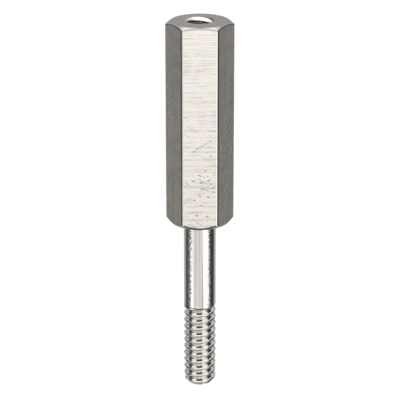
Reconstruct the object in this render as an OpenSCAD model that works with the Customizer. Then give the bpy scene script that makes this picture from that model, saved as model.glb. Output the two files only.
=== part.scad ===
// Male-female hex standoff, turned from one length of hexagonal stainless steel bar.
// A tapped hole in one end of the body takes a screw. A stud stands out of the other end:
// a plain shank next to the shoulder, then a right-hand 60 degree thread down to the tip.
// The part lies on one flat of the hexagon, with its axis along Y. The origin is on that
// axis, in the plane of the shoulder: the tapped end faces +Y and the stud points to -Y.

/* [Hexagonal body] */
// Distance across the flats of the bar
across_flats = 6.35; // [5:0.05:12]
// Length of the body, from the shoulder to the tapped end
body_length = 22.225; // [16:0.005:60]
// How far inside the flats the chamfer of the tapped end starts
end_chamfer_inset = 0.05; // [0:0.01:0.5]
// Slope of that chamfer, from the plane of the end face
end_chamfer_angle = 31.5; // [15:0.5:50]
// How far inside the flats the chamfer of the shoulder starts
shoulder_chamfer_inset = 0.06; // [0:0.01:0.5]
// Slope of that chamfer, from the plane of the seating face
shoulder_chamfer_angle = 38; // [15:0.5:50]

/* [Tapped hole] */
// Diameter of the tapping drill, which is the wall that the screw's thread is cut into
tap_drill_d = 2.7; // [1.5:0.05:4]
// Depth of the straight wall of the hole
hole_depth = 11.1; // [4:0.1:13.5]
// Full angle of the drill point at the bottom of the hole
drill_point_angle = 118; // [90:1:140]

/* [Stud] */
// Diameter of the plain shank
shank_d = 3.46; // [2.8:0.02:5]
// Length of the whole stud, from the shoulder to its tip
stud_length = 19.05; // [14:0.005:50]
// Length of the threaded end, with its run-out and tip
thread_length = 9.525; // [3:0.005:13]
// Diameter of the flat that the chamfer leaves at the tip
tip_d = 2.5; // [1:0.05:2.8]
// Slope of the chamfer at the tip, from the stud's axis
tip_chamfer_angle = 45; // [20:1:60]

/* [Thread] */
// Diameter over the crests of the thread
thread_d = 3.48; // [3:0.02:5]
// Threads to the inch
threads_per_inch = 32; // [20:1:48]
// Turns over which the groove deepens from nothing to its full depth
runout_turns = 0.5; // [0.5:0.05:1.5]
// Place around the axis where the groove starts, counted from +X towards +Z
start_angle = 163; // [0:1:359]

/* [Hidden] */

STEEL = [0.74, 0.73, 0.71];
INCH = 25.4;
FINE = 96;              // sides of a round surface
STEPS = 36;             // steps to one turn of the thread, and sides of its crests
JOIN = 1;               // run of one shape into the next, so that they make one solid

across_corners = across_flats / cos(30);
shank_length = stud_length - thread_length;

// The thread's section. The groove is 17/24 as deep as the sharp 60 degree triangle, and
// leaves a crest an eighth of the pitch wide.
pitch = INCH / threads_per_inch;
crest_r = thread_d / 2;
groove_depth = pitch * cos(30) * 17 / 24;
mouth_half = pitch * 7 / 16;
floor_half = mouth_half - groove_depth * tan(30);
// The cutting form reaches a little past the crests
clear = pitch / 16;
form_half = mouth_half + clear * tan(30);
FORM = [[clear, -form_half], [-groove_depth, -floor_half], [-groove_depth, floor_half], [clear, form_half]];
CORNERS = len(FORM);
rings = STEPS * ceil(thread_length / pitch + 1);

// Place of a step around the axis
function step_angle(i) = start_angle + 360 * i / STEPS;

// How far the cutting form is still held out of the stud, so many turns after its start
function lift(turns) = (groove_depth + clear / 2) * (1 - min(turns / runout_turns, 1));

// One ring of the cutting form: a point for each of its corners, with z down from the shank
function ring(i) = [
    for (corner = FORM)
        let (r = crest_r + corner[0] + lift(i / STEPS), a = step_angle(i))
        [r * cos(a), r * sin(a), floor_half + pitch * i / STEPS + corner[1]]
];

// The groove that the die cuts, as one solid swept along the helix from ring to ring
module thread_groove() {
    points = [for (i = [0 : rings]) each ring(i)];
    sides = [
        for (i = [0 : rings - 1], c = [0 : CORNERS - 1])
            let (here = CORNERS * i, next = here + CORNERS, d = (c + 1) % CORNERS)
            each [[next + c, here + d, here + c], [next + c, next + d, here + d]]
    ];
    first_end = [for (c = [0 : CORNERS - 1]) c];
    last_end = [for (c = [CORNERS - 1 : -1 : 0]) CORNERS * rings + c];
    polyhedron(points, concat([first_end, last_end], sides), convexity = 10);
}

// A cone's run along the axis, where it narrows from one radius to another
function taper(from_r, to_r, slope) = (from_r - to_r) * tan(slope);

// What is turned at the tip: the outer limit of the threaded end, with the chamfer that leads
// it into a nut
module tip_form() {
    form_r = crest_r + clear;
    rotate_extrude($fn = FINE)
        polygon([
            [0, 0],
            [form_r, 0],
            [form_r, thread_length - (form_r - tip_d / 2) / tan(tip_chamfer_angle)],
            [tip_d / 2, thread_length],
            [0, thread_length]
        ]);
}

// The threaded end before its thread is cut. It has one flat side for each step of the helix,
// so that every facet of the groove meets a straight edge of the crest.
module thread_blank() {
    outline = [for (i = [0 : STEPS - 1]) crest_r * [cos(step_angle(i)), sin(step_angle(i))]];
    intersection() {
        linear_extrude(thread_length) polygon(outline);
        tip_form();
    }
}

// The plain shank and the threaded end, which point to -Y from the shoulder
module stud() {
    rotate([90, 0, 0]) {
        translate([0, 0, -JOIN]) cylinder(d = shank_d, h = shank_length + JOIN, $fn = FINE);
        translate([0, 0, shank_length])
            difference() {
                thread_blank();
                thread_groove();
            }
    }
}

// The bar, cut to length and chamfered at both ends: a hexagonal prism inside a round form
// whose cones leave the curved edges along the top of each flat
module hex_body() {
    turning_r = across_corners / 2 + JOIN;
    shoulder_r = across_flats / 2 - shoulder_chamfer_inset;
    end_r = across_flats / 2 - end_chamfer_inset;
    rotate([-90, 0, 0])
        intersection() {
            cylinder(d = across_corners, h = body_length, $fn = 6);
            rotate_extrude($fn = FINE)
                polygon([
                    [0, 0],
                    [shoulder_r, 0],
                    [turning_r, taper(turning_r, shoulder_r, shoulder_chamfer_angle)],
                    [turning_r, body_length - taper(turning_r, end_r, end_chamfer_angle)],
                    [end_r, body_length],
                    [0, body_length]
                ]);
        }
}

// Drilled from the tapped end, with the cone that the drill's point leaves at the bottom
module tapped_hole() {
    point_length = tap_drill_d / 2 / tan(drill_point_angle / 2);
    translate([0, body_length, 0])
        rotate([90, 0, 0])
            rotate_extrude($fn = FINE)
                polygon([
                    [0, -JOIN],
                    [tap_drill_d / 2, -JOIN],
                    [tap_drill_d / 2, hole_depth],
                    [0, hole_depth + point_length]
                ]);
}

module standoff() {
    color(STEEL)
        difference() {
            union() {
                hex_body();
                stud();
            }
            tapped_hole();
        }
}

standoff();
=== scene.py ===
from math import ceil, cos, hypot, pi, radians, sin, tan

import bpy
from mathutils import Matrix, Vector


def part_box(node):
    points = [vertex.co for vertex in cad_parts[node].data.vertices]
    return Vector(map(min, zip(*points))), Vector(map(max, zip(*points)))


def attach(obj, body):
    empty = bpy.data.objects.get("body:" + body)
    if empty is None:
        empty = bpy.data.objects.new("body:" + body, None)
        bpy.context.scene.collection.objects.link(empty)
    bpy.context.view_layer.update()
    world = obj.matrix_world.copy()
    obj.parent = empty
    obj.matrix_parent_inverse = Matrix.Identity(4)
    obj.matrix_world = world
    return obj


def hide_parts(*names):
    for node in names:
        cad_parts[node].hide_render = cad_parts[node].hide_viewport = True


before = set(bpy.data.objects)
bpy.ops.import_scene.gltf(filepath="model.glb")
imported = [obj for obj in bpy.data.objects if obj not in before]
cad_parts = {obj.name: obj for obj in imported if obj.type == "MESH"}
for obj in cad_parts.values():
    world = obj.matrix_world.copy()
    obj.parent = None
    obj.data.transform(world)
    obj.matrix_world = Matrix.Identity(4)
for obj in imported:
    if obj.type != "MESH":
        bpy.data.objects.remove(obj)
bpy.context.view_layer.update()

# Hexagonal body: a length of cold-drawn stainless bar, sawn off and lying on one of its flats.
# The axis runs along Y, with the shoulder at Y = 0. Its long edges roll over slightly, and both
# ends are turned to a cone, which leaves a curved edge along the top of each flat.
MM = 0.001
low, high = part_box("standoff")
across_flats = high.z - low.z
across_corners = high.x - low.x
body_length = high.y
end_face_radius = across_flats / 2 - 0.05 * MM
end_cone_angle = radians(31.5)
shoulder_radius = across_flats / 2 - 0.06 * MM
shoulder_cone_angle = radians(38)
left_to_turn = 1 * MM
long_edge_roll = 0.1 * MM
end_edge_break = 0.045 * MM
shoulder_edge_break = 0.065 * MM
flat_light = (0.745, 0.717, 0.677, 1)
flat_warm = (0.775, 0.725, 0.66, 1)
flat_shade = (0.57, 0.53, 0.49, 1)
# The next two colours are painted shade: dark lines beside the edges and in the marks, and a
# darker one beside the shoulder.
edge_shadow = (0.24, 0.23, 0.215, 1)
shoulder_painted_shade = (0.09, 0.085, 0.08, 1)
edge_colour = (0.64, 0.61, 0.58, 1)
end_light = (0.45, 0.44, 0.42, 1)
end_shade = (0.34, 0.33, 0.315, 1)
VALUE = "NodeSocketFloat"
VECTOR = "NodeSocketVector"


def add_node(tree, kind, inputs=None, **settings):
    """Adds a node. Each input is given a value or is linked to another node's output."""
    node = tree.nodes.new(kind)
    for name, value in settings.items():
        setattr(node, name, value)
    for name, value in (inputs or {}).items():
        if isinstance(value, bpy.types.NodeSocket):
            tree.links.new(value, node.inputs[name])
        else:
            node.inputs[name].default_value = value
    return node


def new_group(name, inputs, output):
    """Starts a node group with named inputs and one value that changes over the surface."""
    group = bpy.data.node_groups.new(name, "ShaderNodeTree")
    for socket, kind in inputs.items():
        group.interface.new_socket(name=socket, in_out="INPUT", socket_type=kind)
    group.interface.new_socket(name=output, in_out="OUTPUT", socket_type=VALUE)
    given = group.nodes.new("NodeGroupInput").outputs
    result = group.nodes.new("NodeGroupOutput").inputs
    return group, given, result


def use_group(tree, group, inputs):
    return add_node(tree, "ShaderNodeGroup", inputs, node_tree=group).outputs[0]


def calc(tree, operation, first, second=0, third=0):
    node = add_node(tree, "ShaderNodeMath", {0: first, 1: second, 2: third}, operation=operation)
    return node.outputs[0]


def vector(tree, operation, first, second):
    """Works on two vectors, or on a vector and a number. Gives a Vector or a Value."""
    inputs = {0: first, "Scale" if operation == "SCALE" else 1: second}
    return add_node(tree, "ShaderNodeVectorMath", inputs, operation=operation).outputs


def both(tree, *masks):
    """A mask that holds only where all of the given ones do. A number weakens it."""
    product = masks[0]
    for mask in masks[1:]:
        product = calc(tree, "MULTIPLY", product, mask)
    return product


def strongest(tree, *masks):
    """A mask that holds where any of the given ones does."""
    highest = masks[0]
    for mask in masks[1:]:
        highest = calc(tree, "MAXIMUM", highest, mask)
    return highest


def heap(tree, *layers):
    """Adds up layers of relief, each with its height in thousandths of a millimetre."""
    total = 0
    for layer, height in layers:
        total = calc(tree, "MULTIPLY_ADD", layer, height, total)
    return total


def ramp(tree, value, from_min, from_max, to_min, to_max):
    """Carries a value smoothly from one range to another and holds it at both ends."""
    inputs = {
        "Value": value,
        "From Min": from_min,
        "From Max": from_max,
        "To Min": to_min,
        "To Max": to_max,
    }
    node = add_node(tree, "ShaderNodeMapRange", inputs, interpolation_type="SMOOTHSTEP")
    return node.outputs["Result"]


def blend(tree, factor, first, second):
    """Mixes two colours. A Mix node keeps its colour inputs sixth and seventh from zero."""
    mix = add_node(tree, "ShaderNodeMix", {0: factor, 6: first, 7: second}, data_type="RGBA")
    return mix.outputs[2]


def split(tree, place):
    return add_node(tree, "ShaderNodeSeparateXYZ", {"Vector": place}).outputs


def from_axis(tree, place):
    """The distance of a place from the part's axis."""
    axes = split(tree, place)
    squares = calc(tree, "MULTIPLY", axes["Z"], axes["Z"])
    squares = calc(tree, "MULTIPLY_ADD", axes["X"], axes["X"], squares)
    return calc(tree, "SQRT", squares)


def metal(name):
    """Starts a bare metal, and gives the place on the piece in millimetres."""
    material = bpy.data.materials.new(name)
    material.use_nodes = True
    tree = material.node_tree
    place = add_node(tree, "ShaderNodeTexCoord").outputs["Object"]
    return material, tree, vector(tree, "SCALE", place, 1 / MM)["Vector"]


def finish(tree, colour, roughness, height):
    """Gives a metal its colour, its roughness and its relief in thousandths of a millimetre."""
    shader = tree.nodes["Principled BSDF"]
    shader.inputs["Metallic"].default_value = 1
    relief = {"Height": height, "Distance": MM / 1000, "Strength": 1}
    bump = add_node(tree, "ShaderNodeBump", relief)
    tree.links.new(colour, shader.inputs["Base Color"])
    tree.links.new(roughness, shader.inputs["Roughness"])
    tree.links.new(bump.outputs["Normal"], shader.inputs["Normal"])


# Lines: noise drawn out by fewer waves to the millimetre one way than the other
lines_group, given, result = new_group("fine_lines", {"Place": VECTOR, "Per mm": VECTOR}, "Lines")
stretched = vector(lines_group, "MULTIPLY", given["Place"], given["Per mm"])["Vector"]
waves = {"Vector": stretched, "Scale": 1, "Detail": 2, "Roughness": 0.55}
noise = add_node(lines_group, "ShaderNodeTexNoise", waves)
lines_group.links.new(noise.outputs[0], result["Lines"])


def lines(tree, place, per_mm):
    return use_group(tree, lines_group, {"Place": place, "Per mm": per_mm})


# Nicks: small round dents in a share of the cells that the surface is divided into
nicks_group, given, result = new_group(
    "nicks", {"Place": VECTOR, "Per mm": VECTOR, "Share": VALUE, "Width": VALUE}, "Depth"
)
stretched = vector(nicks_group, "MULTIPLY", given["Place"], given["Per mm"])["Vector"]
cells = add_node(nicks_group, "ShaderNodeTexVoronoi", {"Vector": stretched, "Scale": 1})
lot = add_node(nicks_group, "ShaderNodeSeparateColor", {"Color": cells.outputs["Color"]})
drawn_by_lot = calc(nicks_group, "LESS_THAN", lot.outputs["Red"], given["Share"])
bowl = ramp(nicks_group, cells.outputs["Distance"], 0, given["Width"], 1, 0)
nicks_group.links.new(both(nicks_group, drawn_by_lot, bowl), result["Depth"])

# Scratches: the peaks of noise that is turned and then drawn out
scratch_group, given, result = new_group(
    "scratches", {"Place": VECTOR, "Turn": VECTOR, "Per mm": VECTOR, "From": VALUE}, "Depth"
)
turned = add_node(
    scratch_group, "ShaderNodeMapping", {"Vector": given["Place"], "Rotation": given["Turn"]}
)
stretched = vector(scratch_group, "MULTIPLY", turned.outputs["Vector"], given["Per mm"])["Vector"]
waves = {"Vector": stretched, "Scale": 1, "Detail": 1, "Roughness": 0.5}
noise = add_node(scratch_group, "ShaderNodeTexNoise", waves)
full = calc(scratch_group, "ADD", given["From"], 0.1)
cut_in = ramp(scratch_group, noise.outputs[0], given["From"], full, 0, 1)
scratch_group.links.new(cut_in, result["Depth"])

# Mark: one straight groove of a given start, direction, length and width
mark_group, given, result = new_group(
    "mark",
    {"Place": VECTOR, "Start": VECTOR, "Along": VECTOR, "Length": VALUE, "Width": VALUE},
    "Depth",
)
offset = vector(mark_group, "SUBTRACT", given["Place"], given["Start"])["Vector"]
run = vector(mark_group, "DOT_PRODUCT", offset, given["Along"])["Value"]
run = calc(mark_group, "MINIMUM", calc(mark_group, "MAXIMUM", run, 0), given["Length"])
foot = vector(mark_group, "SCALE", given["Along"], run)["Vector"]
aside = vector(mark_group, "DISTANCE", offset, foot)["Value"]
mark_group.links.new(ramp(mark_group, aside, 0, given["Width"], 1, 0), result["Depth"])

# Turning rings: the fine round lines that the lathe leaves about the axis
rings_group, given, result = new_group(
    "turning_rings", {"Place": VECTOR, "Per mm": VALUE}, "Rings"
)
radius = from_axis(rings_group, given["Place"])
along_radius = calc(rings_group, "MULTIPLY", radius, given["Per mm"])
waves = {"W": along_radius, "Scale": 1, "Detail": 2, "Roughness": 0.6}
noise = add_node(rings_group, "ShaderNodeTexNoise", waves, noise_dimensions="1D")
rings_group.links.new(noise.outputs[0], result["Rings"])

# The flats: fine lines run across the level ones and a drawn grain runs along the side ones.
# Handling has dented and scratched all of them, most in the half next to the shoulder. A thin
# line of painted shade lies beside each edge. The materials measure in millimetres.
flat_height = across_flats / 2 / MM
painted_shade_height = flat_height - 0.175
flat_steel, tree, place = metal("drawn_flats")
axes = split(tree, place)
height_up = calc(tree, "ABSOLUTE", axes["Z"])
level_flats = ramp(tree, height_up, flat_height - 0.055, flat_height - 0.015, 0, 1)
side_flats = calc(tree, "SUBTRACT", 1, level_flats)
across = lines(tree, place, (0.16, 7, 0.16))
breaks = lines(tree, place, (0.9, 1.6, 0.9))
along = lines(tree, place, (3, 0.12, 3))
fine_along = lines(tree, place, (11, 0.3, 11))
tint = lines(tree, place, (0.35, 0.9, 0.35))
patches = lines(tree, place, (0.35, 0.22, 0.35))
handled = ramp(tree, calc(tree, "MULTIPLY_ADD", patches, -12, axes["Y"]), 2, 9, 1, 0.1)
nicks = use_group(
    tree, nicks_group, {"Place": place, "Per mm": (2.6, 2, 2.6), "Share": 0.4, "Width": 0.42}
)
nicks = both(tree, nicks, handled)
scratches = use_group(
    tree,
    scratch_group,
    {"Place": place, "Turn": (0, 0, radians(35)), "Per mm": (0.6, 5, 5), "From": 0.66},
)
scratches = both(tree, scratches, handled)
ticks = use_group(
    tree,
    scratch_group,
    {"Place": place, "Turn": (0, 0, radians(-50)), "Per mm": (1.8, 6.5, 4), "From": 0.56},
)
ticks = both(tree, ticks, ramp(tree, patches, 0.47, 0.58, 0, 1), side_flats)

# Marks that the part took in handling: where each starts in X and Y, its direction in degrees,
# its length and its width. The first is a long scratch, the next three a curved dent.
marks = 0
for x, y, turned_by, length, width in (
    (-0.8, 8.77, 32, 2.45, 0.035),
    (-0.05, 4.13, 62, 0.42, 0.06),
    (0.15, 4.5, 41, 0.29, 0.07),
    (0.37, 4.69, -24, 0.59, 0.06),
    (0, 5.27, 49, 0.2, 0.08),
    (0.13, 5.42, -47, 0.2, 0.08),
    (0.85, 5.56, 25, 0.3, 0.08),
    (0.5, 6.6, 35, 0.25, 0.08),
    (-0.2, 6.2, -20, 0.35, 0.07),
    (-0.82, 5.47, 10, 0.25, 0.08),
    (-1.33, 5.25, 90, 0.15, 0.09),
    (1.24, 4.66, 42, 0.45, 0.06),
    (-0.12, 3.9, -15, 0.2, 0.09),
    (0.8, 3.76, -20, 0.2, 0.1),
    (-0.7, 3.38, -20, 0.2, 0.09),
    (-0.2, 1.6, 170, 0.25, 0.1),
    (0.7, 1.5, 20, 0.2, 0.1),
    (1.2, 0.45, -35, 0.25, 0.1),
):
    mark = use_group(
        tree,
        mark_group,
        {
            "Place": place,
            "Start": (x, y, flat_height),
            "Along": (cos(radians(turned_by)), sin(radians(turned_by)), 0),
            "Length": length,
            "Width": width,
        },
    )
    marks = strongest(tree, marks, mark)

height = heap(
    tree,
    (both(tree, across, level_flats), 3),
    (both(tree, along, side_flats), 4),
    (fine_along, 0.8),
    (nicks, -17),
    (scratches, -6),
    (ticks, -6),
    (marks, -13),
)
line_shade = both(
    tree,
    ramp(tree, across, 0.38, 0.56, 1, 0),
    level_flats,
    ramp(tree, breaks, 0.38, 0.6, 0.3, 0.95),
)
grain_shade = both(tree, ramp(tree, along, 0.36, 0.6, 0.4, 0), side_flats)
# Painted shade in the dents and grooves: the nicks and scratches darken the colour, and the marks
# and ticks darken it more.
shade = strongest(tree, line_shade, grain_shade, both(tree, nicks, 0.7), scratches)
colour = blend(tree, ramp(tree, tint, 0.4, 0.6, 0, 1), flat_light, flat_warm)
colour = blend(tree, shade, colour, flat_shade)
colour = blend(tree, both(tree, marks, 0.8), colour, edge_shadow)
colour = blend(tree, both(tree, ticks, 0.5), colour, edge_shadow)


def from_cone(tree, radius, face_radius, slope, in_from_face):
    """How far a place lies along the axis from the cone that starts at a face's rim."""
    out = calc(tree, "SUBTRACT", radius, face_radius / MM)
    return calc(tree, "MULTIPLY_ADD", out, -tan(slope), in_from_face)


# Painted shade: dark lines beside the long edges and the end cone, and a darker one beside the
# shoulder.
ragged = calc(tree, "MULTIPLY_ADD", fine_along, 0.25, height_up)
ragged = calc(tree, "MULTIPLY_ADD", along, 0.2, ragged)
shade_beside_edge = both(tree, ramp(tree, ragged, painted_shade_height, painted_shade_height + 0.2, 0, 1), side_flats)
radius = from_axis(tree, place)
from_shoulder = from_cone(tree, radius, shoulder_radius, shoulder_cone_angle, axes["Y"])
shade_beside_shoulder = both(tree, ramp(tree, from_shoulder, 0.12, 0.22, 1, 0), level_flats)
in_from_end = calc(tree, "SUBTRACT", body_length / MM, axes["Y"])
from_end = from_cone(tree, radius, end_face_radius, end_cone_angle, in_from_end)
shade_beside_end = both(
    tree, ramp(tree, from_end, 0.1, 0.2, 1, 0), ramp(tree, level_flats, 0, 1, 1, 0.35)
)
colour = blend(tree, strongest(tree, shade_beside_edge, shade_beside_end), colour, edge_shadow)
colour = blend(tree, shade_beside_shoulder, colour, shoulder_painted_shade)
finish(tree, colour, ramp(tree, tint, 0.3, 0.7, 0.24, 0.3), height)

# The rolled and broken edges: rubbed bright, with painted shade where the level flats meet both
# cones
edge_steel, tree, place = metal("worn_edges")
axes = split(tree, place)
rubbed = lines(tree, place, (2.5, 2.5, 2.5))
height_up = calc(tree, "ABSOLUTE", axes["Z"])
near_level = ramp(tree, height_up, painted_shade_height, painted_shade_height + 0.08, 0, 1)
shoulder_edge = both(tree, ramp(tree, axes["Y"], 0.3, 0.5, 1, 0), near_level)
in_from_end = calc(tree, "SUBTRACT", body_length / MM, axes["Y"])
end_edge = both(tree, ramp(tree, in_from_end, 0.225, 0.425, 1, 0), near_level)
colour = blend(tree, shoulder_edge, edge_colour, shoulder_painted_shade)
colour = blend(tree, end_edge, colour, edge_shadow)
finish(tree, colour, ramp(tree, rubbed, 0.3, 0.7, 0.06, 0.14), heap(tree, (rubbed, 9)))

# The turned faces and cones of both ends: round lines from the lathe and a few specks
turned_steel, tree, place = metal("turned_ends")
coarse = use_group(tree, rings_group, {"Place": place, "Per mm": 3})
fine = use_group(tree, rings_group, {"Place": place, "Per mm": 15})
specks = use_group(
    tree, nicks_group, {"Place": place, "Per mm": (3, 3, 3), "Share": 0.2, "Width": 0.3}
)
height = heap(tree, (coarse, 3), (fine, 1.2), (specks, -5))
worn = strongest(tree, ramp(tree, fine, 0.35, 0.65, 0.6, 0), specks)
colour = blend(tree, worn, end_light, end_shade)
finish(tree, colour, ramp(tree, coarse, 0.3, 0.7, 0.235, 0.255), height)

# The mesh: the bar is bevelled along its long edges and then cut by a round form, whose cones
# are bevelled where they meet the flats. A hair is the smallest distance that is told apart.
SIDES = 192
hair = 0.01 * MM
weld_gap = 0.02 * MM


def alone(piece):
    bpy.ops.object.select_all(action="DESELECT")
    piece.select_set(True)
    bpy.context.view_layer.objects.active = piece


def edit(piece, kind, chosen):
    """Opens a piece in edit mode with the vertices, edges or faces that a rule chooses."""
    alone(piece)
    bpy.ops.object.mode_set(mode="EDIT")
    bpy.ops.mesh.select_mode(type=kind)
    bpy.ops.mesh.select_all(action="DESELECT")
    bpy.ops.object.mode_set(mode="OBJECT")
    mesh = piece.data
    for element in {"VERT": mesh.vertices, "EDGE": mesh.edges, "FACE": mesh.polygons}[kind]:
        element.select = bool(chosen(element))
    bpy.ops.object.mode_set(mode="EDIT")


def close():
    bpy.ops.object.mode_set(mode="OBJECT")


def settle(piece):
    """Turns a piece's place, turn and size into its mesh."""
    alone(piece)
    bpy.ops.object.transform_apply(location=True, rotation=True, scale=True)


def weld(piece, gap):
    """Merges the corners that lie closer together than a gap."""
    edit(piece, "VERT", lambda vertex: True)
    bpy.ops.mesh.remove_doubles(threshold=gap)
    close()


def round_bar(name, radius, length, start, towards):
    """A round bar along Y, from start towards the tapped end (1) or the stud's tip (-1)."""
    bpy.ops.object.select_all(action="DESELECT")
    bpy.ops.mesh.primitive_cylinder_add(
        vertices=SIDES,
        radius=radius,
        depth=length,
        location=(0, start + length / 2 * towards, 0),
        rotation=(radians(-90) * towards, 0, 0),
    )
    bar = bpy.context.object
    bar.name = name
    settle(bar)
    return bar


def draw_out(along, from_radius, to_radius):
    """Extrudes the chosen end face along Y and turns it to a new radius."""
    bpy.ops.mesh.extrude_region_move(TRANSFORM_OT_translate={"value": (0, along, 0)})
    scale = to_radius / from_radius
    bpy.ops.transform.resize(value=(scale, 1, scale), center_override=(0, 0, 0))


def machine(piece, tool, operation):
    """Joins a form to the piece or cuts it away. The new faces keep the tool's finish."""
    cut = piece.modifiers.new("machine", "BOOLEAN")
    cut.object = tool
    cut.operation = operation
    cut.solver = "MANIFOLD"
    cut.material_mode = "TRANSFER"
    alone(piece)
    bpy.ops.object.modifier_apply(modifier=cut.name)
    bpy.data.objects.remove(tool)


bpy.ops.object.select_all(action="DESELECT")
bpy.ops.mesh.primitive_cylinder_add(
    vertices=6,
    radius=across_corners / 2,
    depth=body_length + 2 * left_to_turn,
    location=(0, body_length / 2, 0),
    rotation=(radians(-90), radians(30), 0),
)
standoff = bpy.context.object
standoff.name = "standoff_steel"
settle(standoff)
standoff.data.materials.append(flat_steel)
standoff.data.materials.append(edge_steel)
edge_slot = 1


def ends(piece, edge):
    """The places of an edge's two ends."""
    return [piece.data.vertices[i].co for i in edge.vertices]


def runs_along(edge):
    start, end = ends(standoff, edge)
    return abs(start.y - end.y) > body_length / 2


edit(standoff, "EDGE", runs_along)
bpy.ops.mesh.bevel(offset=long_edge_roll, segments=6, profile=0.58, material=edge_slot)
close()

form_radius = across_corners / 2 + left_to_turn
end_cone = (form_radius - end_face_radius) * tan(end_cone_angle)
shoulder_cone = (form_radius - shoulder_radius) * tan(shoulder_cone_angle)
straight = body_length - end_cone - shoulder_cone
form = round_bar("turned_form", form_radius, straight, shoulder_cone, 1)
edit(form, "FACE", lambda face: face.normal.y > 0.9)
draw_out(end_cone, form_radius, end_face_radius)
close()
edit(form, "FACE", lambda face: face.normal.y < -0.9)
draw_out(-shoulder_cone, form_radius, shoulder_radius)
close()
form.data.materials.append(turned_steel)
machine(standoff, form, "INTERSECT")
weld(standoff, weld_gap)


def on_cone(corner, face_place, face_radius, slope):
    """Tells whether a corner lies on the cone of one end, outside its flat face."""
    out = hypot(corner.x, corner.z) - face_radius
    return out > hair and abs(abs(corner.y - face_place) - out * tan(slope)) < hair / 2


for face_place, face_radius, slope, break_width in (
    (body_length, end_face_radius, end_cone_angle, end_edge_break),
    (0, shoulder_radius, shoulder_cone_angle, shoulder_edge_break),
):
    edit(
        standoff,
        "EDGE",
        lambda edge: all(
            on_cone(end, face_place, face_radius, slope) for end in ends(standoff, edge)
        ),
    )
    bpy.ops.mesh.bevel(offset=break_width, segments=3, material=edge_slot, clamp_overlap=True)
    close()

# Stud: a plain shank and a threaded end, turned on the same bar. The shank keeps a bright
# finish. The thread is a right-hand 60 degree one, cut by a die whose first half turn comes in
# gradually. Its crests and roots are rounded, and the tip is chamfered to lead it into a nut.
stud_length = -low.y
thread_length = 9.525 * MM
shank_length = stud_length - thread_length
shank_radius = 1.73 * MM
crest_radius = 1.74 * MM
tip_radius = 1.25 * MM
join = 1 * MM
pitch = 25.4 / 32 * MM
flank_angle = radians(30)
crest_rounding = 0.15 * MM
root_rounding = 0.14 * MM
clear = 0.002 * MM
crown_radius = crest_radius + clear
crown_half = pitch / 2 - clear
flank_half = crown_half - crest_rounding * tan(flank_angle)
sharp_depth = flank_half / tan(flank_angle)
groove_depth = sharp_depth - root_rounding
past_crest = 0.05 * MM
first_cut_angle = radians(163)
first_cut_place = shank_length + 0.066 * MM
runout_turns = 0.5
TURN_STEPS = 96
shank_light = (0.62, 0.595, 0.565, 1)
shank_shade = (0.45, 0.43, 0.4, 1)
# Painted shade: the next colour darkens specks along the shank's sides and the line where the die
# started.
shank_painted_shade = (0.1, 0.095, 0.09, 1)
thread_light = (0.675, 0.66, 0.62, 1)
thread_shade = (0.5, 0.478, 0.44, 1)

# The shank: drawn lines along it and a torn strip along each of its sides, whose inner edge is
# speckled with painted shade, and a line of painted shade round it where the die started
shank_steel, tree, place = metal("bright_shank")
axes = split(tree, place)
drawn = lines(tree, place, (7, 0.04, 7))
torn = lines(tree, place, (4, 6, 4))
aside = calc(tree, "ABSOLUTE", axes["X"])
strip = both(tree, ramp(tree, aside, 0.8, 1, 0, 1), ramp(tree, aside, 1.4, 1.5, 1, 0))
height = heap(tree, (both(tree, calc(tree, "SUBTRACT", torn, 0.5), strip), 38), (drawn, 2))
# Painted shade: dark specks along the inner edge of each strip, and a dark line where the die
# started.
speckled_shade = ramp(tree, calc(tree, "MULTIPLY_ADD", aside, 0.5, torn), 1.035, 1.075, 0, 0.85)
speckled_shade = both(tree, speckled_shade, ramp(tree, aside, 1.05, 1.3, 1, 0))
past_shank = calc(tree, "MULTIPLY_ADD", axes["Y"], -1, -shank_length / MM)
die_start_shade = both(
    tree,
    ramp(tree, past_shank, 0.155, 0.195, 0, 1),
    ramp(tree, past_shank, 0.295, 0.335, 1, 0),
    ramp(tree, aside, 0.7, 1.2, 1, 0.4),
)
colour = blend(tree, ramp(tree, drawn, 0.36, 0.6, 0.9, 0), shank_light, shank_shade)
colour = blend(tree, strongest(tree, speckled_shade, die_start_shade), colour, shank_painted_shade)
finish(tree, colour, ramp(tree, torn, 0.3, 0.7, 0.06, 0.12), height)

# The cut thread: bright, with fine tears
thread_steel, tree, place = metal("cut_thread")
torn = lines(tree, place, (5, 5, 5))
colour = blend(tree, ramp(tree, torn, 0.35, 0.6, 0.8, 0), thread_light, thread_shade)
finish(tree, colour, ramp(tree, torn, 0.3, 0.7, 0.02, 0.07), heap(tree, (torn, 3)))

chamfer = crest_radius - tip_radius
stud = round_bar("stud", shank_radius, shank_length + join, join, -1)
edit(stud, "FACE", lambda face: face.normal.y < -0.9)
draw_out(-hair, shank_radius, crest_radius)
draw_out(-(thread_length - hair - chamfer), crest_radius, crest_radius)
draw_out(-chamfer, crest_radius, tip_radius)
close()
stud.data.materials.append(shank_steel)


def tooth(name, inner, outer, half):
    """A flat four-cornered outline in the XZ plane, between two distances from the axis."""
    bpy.ops.object.select_all(action="DESELECT")
    bpy.ops.mesh.primitive_plane_add(
        size=1, location=((inner + outer) / 2, 0, 0), rotation=(radians(90), 0, 0)
    )
    outline = bpy.context.object
    outline.name = name
    outline.scale = (outer - inner, 2 * half, 1)
    settle(outline)
    return outline


def between(outline, inner, outer):
    """Chooses the edges of an outline that lie between two distances from the axis."""
    return lambda edge: all(inner < end.x < outer for end in ends(outline, edge))


def round_corners(offset, segments):
    """Rounds the chosen corners of an outline, by an offset along the sides that meet there."""
    bpy.ops.mesh.bevel(offset=offset, segments=segments, affect="VERTICES", profile=0.5)


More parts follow.
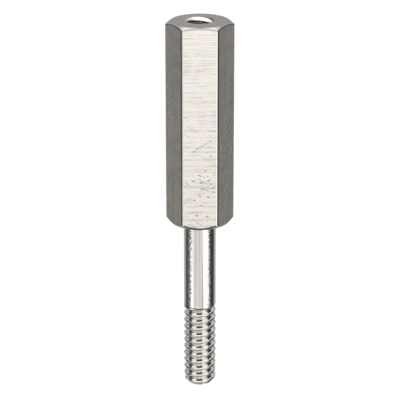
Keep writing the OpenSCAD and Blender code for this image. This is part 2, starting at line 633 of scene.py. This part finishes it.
def wind(outline, turns, steel):
    """Winds an outline that lies in the XZ plane along the Z axis, one pitch to each turn."""
    edit(outline, "FACE", lambda face: True)
    bpy.ops.mesh.delete(type="ONLY_FACE")
    close()
    screw = outline.modifiers.new("turns", "SCREW")
    screw.axis = "Z"
    screw.steps = TURN_STEPS
    screw.render_steps = TURN_STEPS
    screw.iterations = turns
    screw.screw_offset = pitch
    screw.use_smooth_shade = False
    alone(outline)
    bpy.ops.object.modifier_apply(modifier=screw.name)
    edit(outline, "VERT", lambda vertex: True)
    bpy.ops.mesh.fill_holes(sides=0)
    bpy.ops.mesh.normals_make_consistent(inside=False)
    close()
    outline.data.materials.append(steel)


# The die's section is a V with a rounded root, whose sides curve out over the crests. A very
# short first extrusion makes the corners that are rounded for the crests.
die = tooth("die", crown_radius, crown_radius + past_crest, crown_half)
edit(die, "EDGE", between(die, 0, crown_radius + hair))
bpy.ops.mesh.extrude_region_move(TRANSFORM_OT_translate={"value": (-hair / 20, 0, 0)})
bpy.ops.transform.resize(value=(1, 1, flank_half / crown_half), center_override=(0, 0, 0))
bpy.ops.mesh.extrude_region_move(TRANSFORM_OT_translate={"value": (-sharp_depth, 0, 0)})
bpy.ops.mesh.merge(type="CENTER")
close()


def crosses_inside(edge):
    """Chooses the edges that cross the section from side to side, in from its outer edge."""
    start, end = ends(die, edge)
    return start.z * end.z < 0 and start.x < crown_radius + hair


def at_crest(vertex):
    """Chooses the two corners where the straight sides meet the crests."""
    out_from_crown = abs(vertex.co.x - crown_radius)
    return out_from_crown < hair and abs(abs(vertex.co.z) - flank_half) < hair


edit(die, "EDGE", crosses_inside)
bpy.ops.mesh.dissolve_edges(use_verts=False)
close()
edit(die, "VERT", lambda vertex: vertex.co.x < crest_radius - groove_depth)
round_corners(root_rounding / tan(flank_angle), segments=7)
close()
edit(die, "VERT", at_crest)
round_corners(crest_rounding * tan(flank_angle), segments=6)
close()
outline_points = len(die.data.vertices)
wind(die, ceil(thread_length / pitch) + 1, thread_steel)

# The run-out: the rings of the first half turn are held out of the stud, each less than the last
runout_steps = int(TURN_STEPS * runout_turns)
for ring in range(runout_steps):
    held_out = (groove_depth + past_crest / 2) * (1 - ring / runout_steps)
    angle = 2 * pi * ring / TURN_STEPS
    edit(die, "VERT", lambda vertex: vertex.index // outline_points == ring)
    bpy.ops.transform.translate(value=(held_out * cos(angle), held_out * sin(angle), 0))
    close()
die.rotation_euler.z = first_cut_angle
die.location.z = first_cut_place
settle(die)
die.rotation_euler.x = radians(90)
settle(die)
machine(stud, die, "DIFFERENCE")
machine(standoff, stud, "UNION")

# Tapped hole: drilled into the other end with a 118 degree point, then tapped with the same
# right-hand thread, which stops short of the drill's full depth. Its wall is bare cut steel.
drill_radius = 1.35 * MM
hole_depth = 11.1 * MM
drill_point_angle = radians(118)
tap_radius = 1.7526 * MM
tap_core = 1.2 * MM
tap_crest_half = pitch / 16
tap_core_half = tap_crest_half + (tap_radius - tap_core) * tan(flank_angle)
tap_rounding = 0.03 * MM
tapped_turns = 11
mouth_angle = radians(86)
bore_light = (0.8, 0.78, 0.74, 1)
bore_shade = (0.64, 0.62, 0.57, 1)

bore_steel, tree, place = metal("tapped_bore")
torn = lines(tree, place, (4, 4, 4))
colour = blend(tree, ramp(tree, torn, 0.35, 0.6, 0.6, 0), bore_light, bore_shade)
finish(tree, colour, ramp(tree, torn, 0.3, 0.7, 0.14, 0.24), heap(tree, (torn, 1.5)))

drill = round_bar("drill", drill_radius, hole_depth + join, body_length + join, -1)
edit(drill, "FACE", lambda face: face.normal.y < -0.9)
point_length = drill_radius / tan(drill_point_angle / 2)
bpy.ops.mesh.extrude_region_move(TRANSFORM_OT_translate={"value": (0, -point_length, 0)})
bpy.ops.mesh.merge(type="CENTER")
close()
drill.data.materials.append(bore_steel)
machine(standoff, drill, "DIFFERENCE")

tap = tooth("tap", tap_core, tap_radius, tap_core_half)
edit(tap, "EDGE", between(tap, tap_radius - hair, tap_radius + hair))
bpy.ops.transform.resize(value=(1, 1, tap_crest_half / tap_core_half), center_override=(0, 0, 0))
round_corners(tap_rounding, segments=3)
close()
wind(tap, tapped_turns, bore_steel)
tap.rotation_euler.z = mouth_angle
settle(tap)
tap.rotation_euler.x = radians(90)
tap.location.y = body_length + pitch / 2
settle(tap)
machine(standoff, tap, "DIFFERENCE")

# The finished part: one piece of steel, cut from one bar, so it is one closed mesh. The smooth
# shading follows the wide faces, which keeps the flats and the sides of the thread true. It is
# worked out at a thousand times the size, because faces this small throw it off.
final_weld_gap = 0.002 * MM
weld(standoff, final_weld_gap)
alone(standoff)
bpy.ops.object.shade_smooth_by_angle(angle=radians(30))
standoff.scale = (1 / MM, 1 / MM, 1 / MM)
settle(standoff)
normals = standoff.modifiers.new("true_flats", "WEIGHTED_NORMAL")
normals.keep_sharp = True
bpy.ops.object.modifier_apply(modifier=normals.name)
standoff.scale = (MM, MM, MM)
settle(standoff)
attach(standoff, "root")
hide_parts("standoff")

# Floor: a plain sheet of white paper under the part, with a soft shadow where the part rests.
# A glow that only the camera sees keeps it white. It is left out of the steel's reflections,
# which show only the lamps and cards of the studio.
floor_size = 0.6
paper_white = (0.9, 0.9, 0.9, 1)
paper_glow = 1.3
glow_share = 0.6
bpy.ops.object.select_all(action="DESELECT")
bpy.ops.mesh.primitive_plane_add(size=floor_size, location=(0, 0, low.z))
floor = bpy.context.object
floor.name = "floor"
floor.visible_glossy = False
paper = bpy.data.materials.new("white_paper")
paper.use_nodes = True
floor.data.materials.append(paper)
tree = paper.node_tree
tree.nodes.clear()
matt = add_node(tree, "ShaderNodeBsdfDiffuse", {"Color": paper_white}).outputs[0]
glow = add_node(tree, "ShaderNodeEmission", {"Strength": paper_glow}).outputs[0]
seen = add_node(tree, "ShaderNodeLightPath").outputs["Is Camera Ray"]
share = calc(tree, "MULTIPLY", seen, glow_share)
mixed = add_node(tree, "ShaderNodeMixShader", {0: share, 1: matt, 2: glow})
add_node(tree, "ShaderNodeOutputMaterial", {"Surface": mixed.outputs[0]})

# Studio: a wide lamp that the upper flat shows, two tall ones that the stud shows, a broad one
# beyond the tapped end, and dark cards whose edges give the steel its lines. Each is placed by
# its turn about the part's axis from straight up and by its rise towards the tapped end.
ANY = (-400, 400)
scene = bpy.context.scene
world = bpy.data.worlds.new("studio")
scene.world = world
world.use_nodes = True
tree = world.node_tree
tree.nodes.clear()

panel_inputs = ("Turn", "Rise", "From", "To", "Bottom", "Top", "Soft")
panel_group, given, result = new_group("panel", dict.fromkeys(panel_inputs, VALUE), "Mask")
mask = 1
for measure, border, inside in (
    ("Turn", "From", 1),
    ("Turn", "To", 0),
    ("Rise", "Bottom", 1),
    ("Rise", "Top", 0),
):
    before = calc(panel_group, "SUBTRACT", given[border], given["Soft"])
    after = calc(panel_group, "ADD", given[border], given["Soft"])
    side = ramp(panel_group, given[measure], before, after, 1 - inside, inside)
    mask = both(panel_group, side, mask)
panel_group.links.new(mask, result["Mask"])

direction = add_node(tree, "ShaderNodeTexCoord").outputs["Generated"]
axes = split(tree, direction)
turn = calc(tree, "DEGREES", calc(tree, "ARCTAN2", axes["X"], axes["Z"]))
rise = calc(tree, "DEGREES", calc(tree, "ARCSINE", axes["Y"]))


def grey(level):
    return (level, level, level, 1)


def panel(light, turns, rises, level, soft=4):
    """Lays one lamp or card over the ones before it."""
    inputs = dict(zip(panel_inputs, (turn, rise, *turns, *rises, soft)))
    return blend(tree, use_group(tree, panel_group, inputs), light, grey(level))


# The room
light = grey(0.6)
light = panel(light, ANY, (6, 28), 0.55)
light = panel(light, ANY, (28, 60), 0.85)
# The dark cards at both sides, in three rows
light = panel(light, (-130, -80), (21, 56), 0.3)
light = panel(light, (78, 124), (26, 56), 0.2)
light = panel(light, (-115, -61), (-8, 19), 0.03, soft=2)
light = panel(light, (58, 113), (-10, 20), 0.03, soft=2)
light = panel(light, (-124, -87), (-34, -8), 0.12)
light = panel(light, (80, 123), (-56, -2), 0.07)
# The wide lamp, with a brighter right side, and a dimmer one next to it
light = panel(light, (-51, 50), (-20, 6), 1.56)
light = panel(light, (20, 52), (-20, 0), 2.6)
light = panel(light, (-34, 25), (11, 44), 1.1)
# The broad lamp beyond the tapped end
light = panel(light, (-58, 60), (43, 200), 1.5, soft=2)
light = panel(light, ANY, (55, 200), 2.2)
# The two tall lamps, with a pale strip and a dark card in front of them
light = panel(light, (-76, 3), (-50, -20), 2.15)
light = panel(light, (24, 70), (-50, -18), 2.15)
light = panel(light, (-47, 17), (-26, -11), 1.12)
light = panel(light, (-34, 16), (-74, -28), 0.2, soft=2)
# The dark ground beyond the stud's tip
light = panel(light, (-96, 100), (-200, -42), 0.08)
light = panel(light, ANY, (-200, -62), 0.4)

studio = add_node(tree, "ShaderNodeBackground", {"Color": light}).outputs[0]
white = add_node(tree, "ShaderNodeBackground", {"Color": (1, 1, 1, 1)}).outputs[0]
seen = add_node(tree, "ShaderNodeLightPath").outputs["Is Camera Ray"]
mixed = add_node(tree, "ShaderNodeMixShader", {0: seen, 1: studio, 2: white})
add_node(tree, "ShaderNodeOutputWorld", {"Surface": mixed.outputs[0]})
scene.view_settings.view_transform = "Standard"

# Camera: high above the part and past its tapped end, looking down at the upper flat.
lens = bpy.data.cameras.new("camera")
lens.lens = 170.2
lens.clip_start = 0.01
lens.clip_end = 5
camera = bpy.data.objects.new("camera", lens)
camera.location = (0.016 * MM, 70.87 * MM, 192.73 * MM)
camera.rotation_euler = (radians(-19.58), 0, 0)
scene.collection.objects.link(camera)
scene.camera = camera
